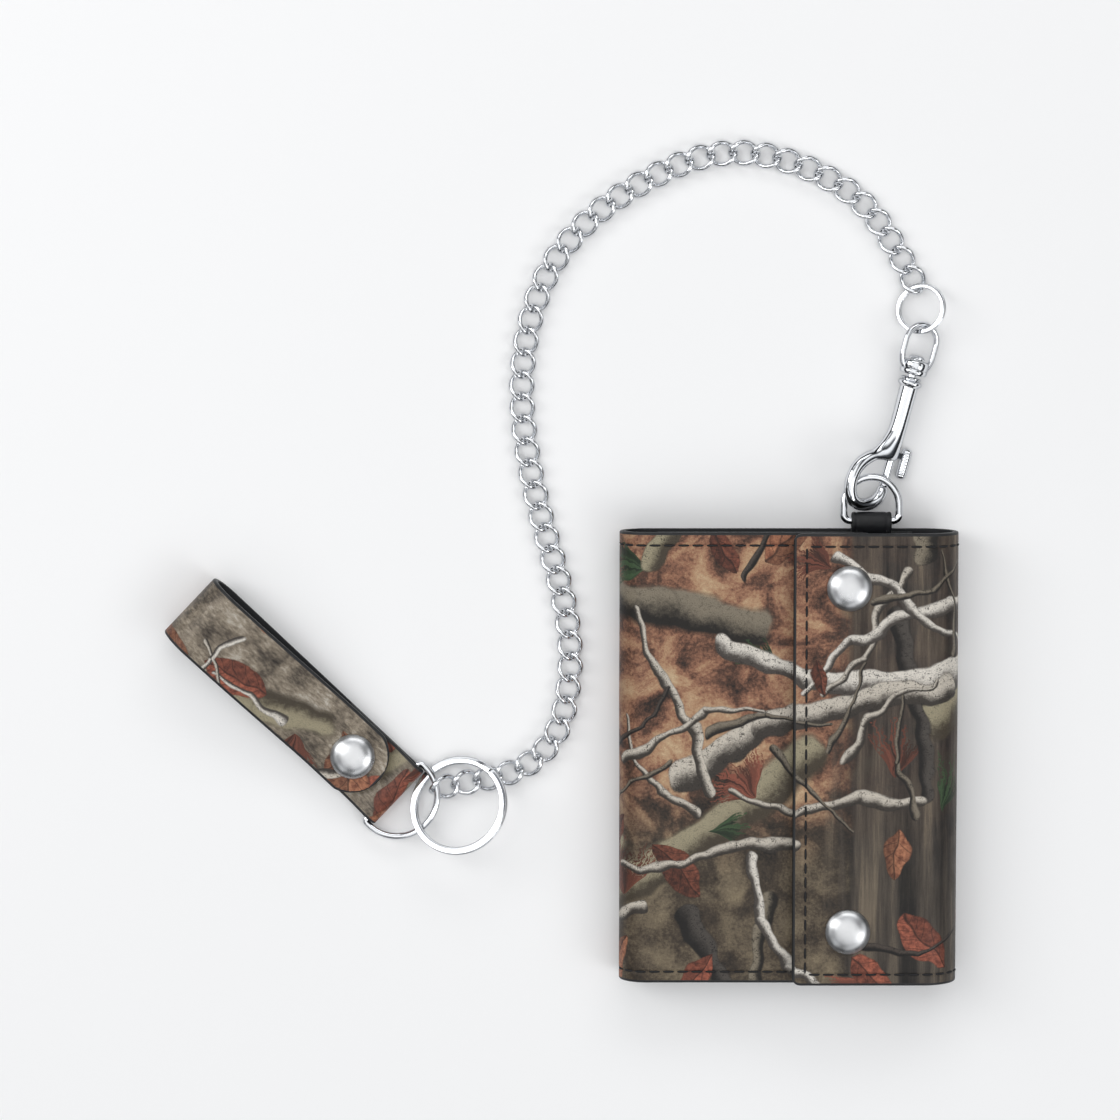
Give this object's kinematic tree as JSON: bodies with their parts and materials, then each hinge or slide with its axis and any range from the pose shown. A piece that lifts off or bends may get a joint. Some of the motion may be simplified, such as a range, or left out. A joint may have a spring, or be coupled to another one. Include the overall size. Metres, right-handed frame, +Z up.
{
  "type": "chain wallet",
  "caption": "Trifold leather wallet in a woodland print with a curb chain, bolt snap, key ring and belt loop that keep it tied to the wearer.",
  "frame": {"origin": "centre of the closed wallet's back face, on the surface it lies on", "axes": "+Z up out of the front of the wallet, +Y along its height towards the hang tab, +X across it towards the closing flap's fold"},
  "size_m": [0.1893, 0.2008, 0.0193],
  "materials": {
    "printed_leather": "smooth printed leather, satin",
    "black_lining": "fine grained black leather",
    "black_leather": "smooth black leather",
    "bright_metal": "bright nickel plate",
    "satin_metal": "satin nickel",
    "spring_steel": "plain"
  },
  "bodies": {
    "back_panel": {"back_cover": "printed_leather", "bill_lining": "black_lining", "back_pocket_1": "black_lining", "back_pocket_2": "black_lining", "back_pocket_3": "black_lining", "hang_tab": "black_leather"},
    "right_spine": {"right_fold": "printed_leather"},
    "closing_flap": {"flap_cover": "printed_leather", "flap_lining": "black_lining", "flap_snap_caps": "satin_metal", "flap_snap_sockets": "bright_metal"},
    "left_spine": {"left_fold": "printed_leather"},
    "front_panel": {"front_cover": "printed_leather", "front_lining": "black_lining", "front_pocket_1": "black_lining", "front_pocket_2": "black_lining", "front_pocket_3": "black_lining", "panel_snap_studs": "bright_metal", "panel_snap_posts": "bright_metal"},
    "tab_ring": {"wallet_d_ring": "bright_metal"},
    "bolt_snap": {"snap_hook": "bright_metal", "bolt_spring": "spring_steel"},
    "bolt": {"hook_bolt": "bright_metal"},
    "swivel": {"swivel_eye": "bright_metal"},
    "small_ring": {"small_split_ring": "bright_metal"},
    "chain_segment_01": {"chain_01": "bright_metal"},
    "chain_segment_02": {"chain_02": "bright_metal"},
    "chain_segment_03": {"chain_03": "bright_metal"},
    "chain_segment_04": {"chain_04": "bright_metal"},
    "chain_segment_05": {"chain_05": "bright_metal"},
    "chain_segment_06": {"chain_06": "bright_metal"},
    "chain_segment_07": {"chain_07": "bright_metal"},
    "chain_segment_08": {"chain_08": "bright_metal"},
    "chain_segment_09": {"chain_09": "bright_metal"},
    "chain_segment_10": {"chain_10": "bright_metal"},
    "chain_segment_11": {"chain_11": "bright_metal"},
    "chain_segment_12": {"chain_12": "bright_metal"},
    "chain_segment_13": {"chain_13": "bright_metal"},
    "chain_segment_14": {"chain_14": "bright_metal"},
    "chain_segment_15": {"chain_15": "bright_metal"},
    "chain_segment_16": {"chain_16": "bright_metal"},
    "belt_ring": {"belt_d_ring": "bright_metal"},
    "key_split_ring": {"key_ring": "bright_metal"},
    "belt_strap": {"belt_strap_base": "printed_leather", "strap_snap_stud": "bright_metal", "strap_snap_post": "bright_metal"},
    "strap_front": {"belt_strap_front": "printed_leather", "strap_snap_cap": "satin_metal", "strap_snap_socket": "bright_metal"}
  },
  "joints": [
    {"name": "flap_open", "type": "hinge", "parent": "back_panel", "child": "right_spine", "pos_m": [0.03791, 0, 0.00239], "axis": [0, 1, 0], "range_deg": [0, 90]},
    {"name": "flap_fold", "type": "hinge", "parent": "right_spine", "child": "closing_flap", "pos_m": [0.03791, 0, 0.01471], "axis": [0, 1, 0], "range_deg": [0, 90]},
    {"name": "panel_open", "type": "hinge", "parent": "back_panel", "child": "left_spine", "pos_m": [-0.03833, 0, 0.00197], "axis": [0, -1, 0], "range_deg": [0, 22.5]},
    {"name": "panel_fold", "type": "hinge", "parent": "left_spine", "child": "front_panel", "pos_m": [-0.03833, 0, 0.01123], "axis": [0, -1, 0], "range_deg": [0, 22.5]},
    {"name": "tab_ring_swing", "type": "hinge", "parent": "back_panel", "child": "tab_ring", "pos_m": [0.0197, 0.0563, 0.00635], "axis": [1, 0, 0], "range_deg": [-15, 55]},
    {"name": "hook_swing", "type": "hinge", "parent": "tab_ring", "child": "bolt_snap", "pos_m": [0.0197, 0.0667, 0.00635], "axis": [0.9659, -0.2588, 0], "range_deg": [-28, 4]},
    {"name": "bolt_slide", "type": "slide", "parent": "bolt_snap", "child": "bolt", "axis": [0.2588, 0.9659, 0], "range_m": [0, 0.0056], "stiffness_N_per_m": 80, "springref_m": -0.004, "deforming": ["bolt_spring"]},
    {"name": "swivel_turn", "type": "hinge", "parent": "bolt_snap", "child": "swivel", "pos_m": [0.02937, 0.09098, 0.00422], "axis": [0.2588, 0.9659, 0], "range_deg": [-90, 90]},
    {"name": "small_ring_swing", "type": "hinge", "parent": "swivel", "child": "small_ring", "pos_m": [0.03253, 0.10277, 0.00422], "axis": [0.9659, -0.2588, 0], "range_deg": [-16, 28]},
    {"name": "chain_joint_01", "type": "hinge", "parent": "small_ring", "child": "chain_segment_01", "pos_m": [0.03065, 0.11167, 0.0016], "axis": [0, 0, 1], "range_deg": [-25, 4]},
    {"name": "chain_joint_02", "type": "hinge", "parent": "chain_segment_01", "child": "chain_segment_02", "pos_m": [0.02283, 0.12498, 0.0016], "axis": [0, 0, -1], "range_deg": [-4, 22]},
    {"name": "chain_joint_03", "type": "hinge", "parent": "chain_segment_02", "child": "chain_segment_03", "pos_m": [0.01164, 0.13606, 0.0016], "axis": [-0.5341, -0.8454, 0], "range_deg": [-22, 22]},
    {"name": "chain_joint_04", "type": "hinge", "parent": "chain_segment_03", "child": "chain_segment_04", "pos_m": [-0.00289, 0.14229, 0.0016], "axis": [0, 0, 1], "range_deg": [-22, 4]},
    {"name": "chain_joint_05", "type": "hinge", "parent": "chain_segment_04", "child": "chain_segment_05", "pos_m": [-0.01861, 0.1429, 0.0016], "axis": [-0.1842, 0.9829, 0], "range_deg": [-22, 22]},
    {"name": "chain_joint_06", "type": "hinge", "parent": "chain_segment_05", "child": "chain_segment_06", "pos_m": [-0.03341, 0.13733, 0.0016], "axis": [0, 0, -1], "range_deg": [-4, 22]},
    {"name": "chain_joint_07", "type": "hinge", "parent": "chain_segment_06", "child": "chain_segment_07", "pos_m": [-0.04656, 0.12847, 0.0016], "axis": [0.6562, -0.7546, 0], "range_deg": [-22, 22]},
    {"name": "chain_joint_08", "type": "hinge", "parent": "chain_segment_07", "child": "chain_segment_08", "pos_m": [-0.05664, 0.11631, 0.0016], "axis": [0, 0, 1], "range_deg": [-22, 4]},
    {"name": "chain_joint_09", "type": "hinge", "parent": "chain_segment_08", "child": "chain_segment_09", "pos_m": [-0.06205, 0.10145, 0.0016], "axis": [-0.978, 0.2084, 0], "range_deg": [-22, 22]},
    {"name": "chain_joint_10", "type": "hinge", "parent": "chain_segment_09", "child": "chain_segment_10", "pos_m": [-0.06354, 0.08566, 0.0016], "axis": [0, 0, -1], "range_deg": [-4, 22]},
    {"name": "chain_joint_11", "type": "hinge", "parent": "chain_segment_10", "child": "chain_segment_11", "pos_m": [-0.06185, 0.06988, 0.0016], "axis": [0.9844, 0.1761, 0], "range_deg": [-22, 22]},
    {"name": "chain_joint_12", "type": "hinge", "parent": "chain_segment_11", "child": "chain_segment_12", "pos_m": [-0.05832, 0.05438, 0.0016], "axis": [0, 0, 1], "range_deg": [-22, 4]},
    {"name": "chain_joint_13", "type": "hinge", "parent": "chain_segment_12", "child": "chain_segment_13", "pos_m": [-0.05417, 0.03903, 0.0016], "axis": [-0.9732, -0.2301, 0], "range_deg": [-22, 22]},
    {"name": "chain_joint_14", "type": "hinge", "parent": "chain_segment_13", "child": "chain_segment_14", "pos_m": [-0.05206, 0.02332, 0.0016], "axis": [0, 0, -1], "range_deg": [-12, 22]},
    {"name": "chain_joint_15", "type": "hinge", "parent": "chain_segment_14", "child": "chain_segment_15", "pos_m": [-0.05433, 0.00768, 0.0016], "axis": [0.9471, -0.3209, 0], "range_deg": [-22, 22]},
    {"name": "chain_joint_16", "type": "hinge", "parent": "chain_segment_15", "child": "chain_segment_16", "pos_m": [-0.0644, -0.00389, 0.0016], "axis": [0, 0, 1], "range_deg": [-10, 12]},
    {"name": "belt_ring_swing", "type": "hinge", "parent": "chain_segment_16", "child": "belt_ring", "pos_m": [-0.08448, -0.00877, 0.0027], "axis": [0, 0, 1], "range_deg": [-3, 12]},
    {"name": "key_ring_swing", "type": "hinge", "parent": "belt_ring", "child": "key_split_ring", "pos_m": [-0.0865, -0.009, 0.004], "axis": [-0.6884, -0.7254, 0], "range_deg": [-3, 30]},
    {"name": "strap_swing", "type": "hinge", "parent": "belt_ring", "child": "belt_strap", "pos_m": [-0.09487, -0.00937, 0.0023], "axis": [-0.6884, -0.7254, 0], "range_deg": [-24, 24]},
    {"name": "strap_open", "type": "hinge", "parent": "belt_strap", "child": "strap_front", "pos_m": [-0.14249, 0.03582, 0.0068], "axis": [-0.6884, -0.7254, 0], "range_deg": [0, 60]}
  ],
  "couplings": [
    {"joint": "flap_fold", "follows": "flap_open", "ratio": 1},
    {"joint": "panel_open", "follows": "flap_open", "ratio": 0.25},
    {"joint": "panel_fold", "follows": "flap_open", "ratio": 0.25}
  ]
}
